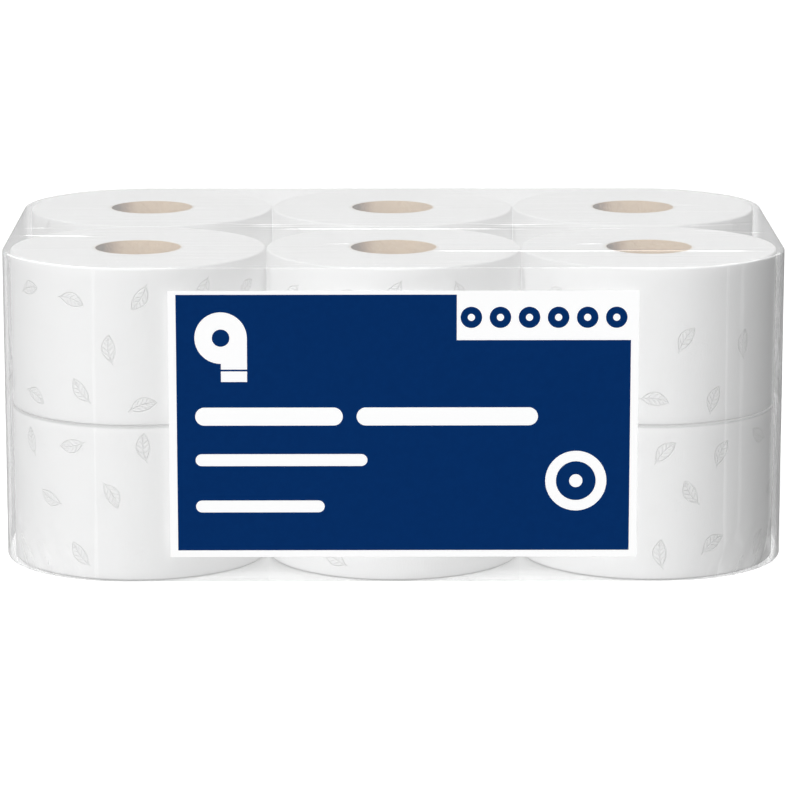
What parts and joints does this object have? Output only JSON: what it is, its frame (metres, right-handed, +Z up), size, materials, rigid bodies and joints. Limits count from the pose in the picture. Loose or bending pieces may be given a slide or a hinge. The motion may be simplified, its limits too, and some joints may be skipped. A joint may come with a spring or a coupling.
{
  "type": "film-wrapped pack of jumbo toilet rolls",
  "caption": "Jumbo toilet rolls with cardboard cores, standing on end in layers inside a tight clear film wrap with a dark blue and white label on the front.",
  "frame": {"origin": "middle of the pack's footprint, on the underside of the film", "axes": "+X along the three columns of rolls, the label faces -Y, +Z up along the cores"},
  "size_m": [0.5226, 0.3426, 0.2091],
  "materials": {
    "tissue": "matt, soft, white",
    "core_board": "matt, grey-brown",
    "clear_film": "glossy, clear, slightly wrinkled",
    "label_paper": "smooth, white, satin",
    "label_blue": "printed dark blue, satin"
  },
  "bodies": {
    "root": {"tissue_lower_front_left": "tissue", "tissue_lower_front_middle": "tissue", "tissue_lower_front_right": "tissue", "tissue_lower_back_left": "tissue", "tissue_lower_back_middle": "tissue", "tissue_lower_back_right": "tissue", "tissue_upper_front_left": "tissue", "tissue_upper_front_middle": "tissue", "tissue_upper_front_right": "tissue", "tissue_upper_back_left": "tissue", "tissue_upper_back_middle": "tissue", "tissue_upper_back_right": "tissue", "core_lower_front_left": "core_board", "core_lower_front_middle": "core_board", "core_lower_front_right": "core_board", "core_lower_back_left": "core_board", "core_lower_back_middle": "core_board", "core_lower_back_right": "core_board", "core_upper_front_left": "core_board", "core_upper_front_middle": "core_board", "core_upper_front_right": "core_board", "core_upper_back_left": "core_board", "core_upper_back_middle": "core_board", "core_upper_back_right": "core_board", "film_sleeve": "clear_film", "film_top": "clear_film", "film_base": "clear_film", "label_sheet": "label_paper", "label_ink": "label_blue"}
  },
  "joints": []
}
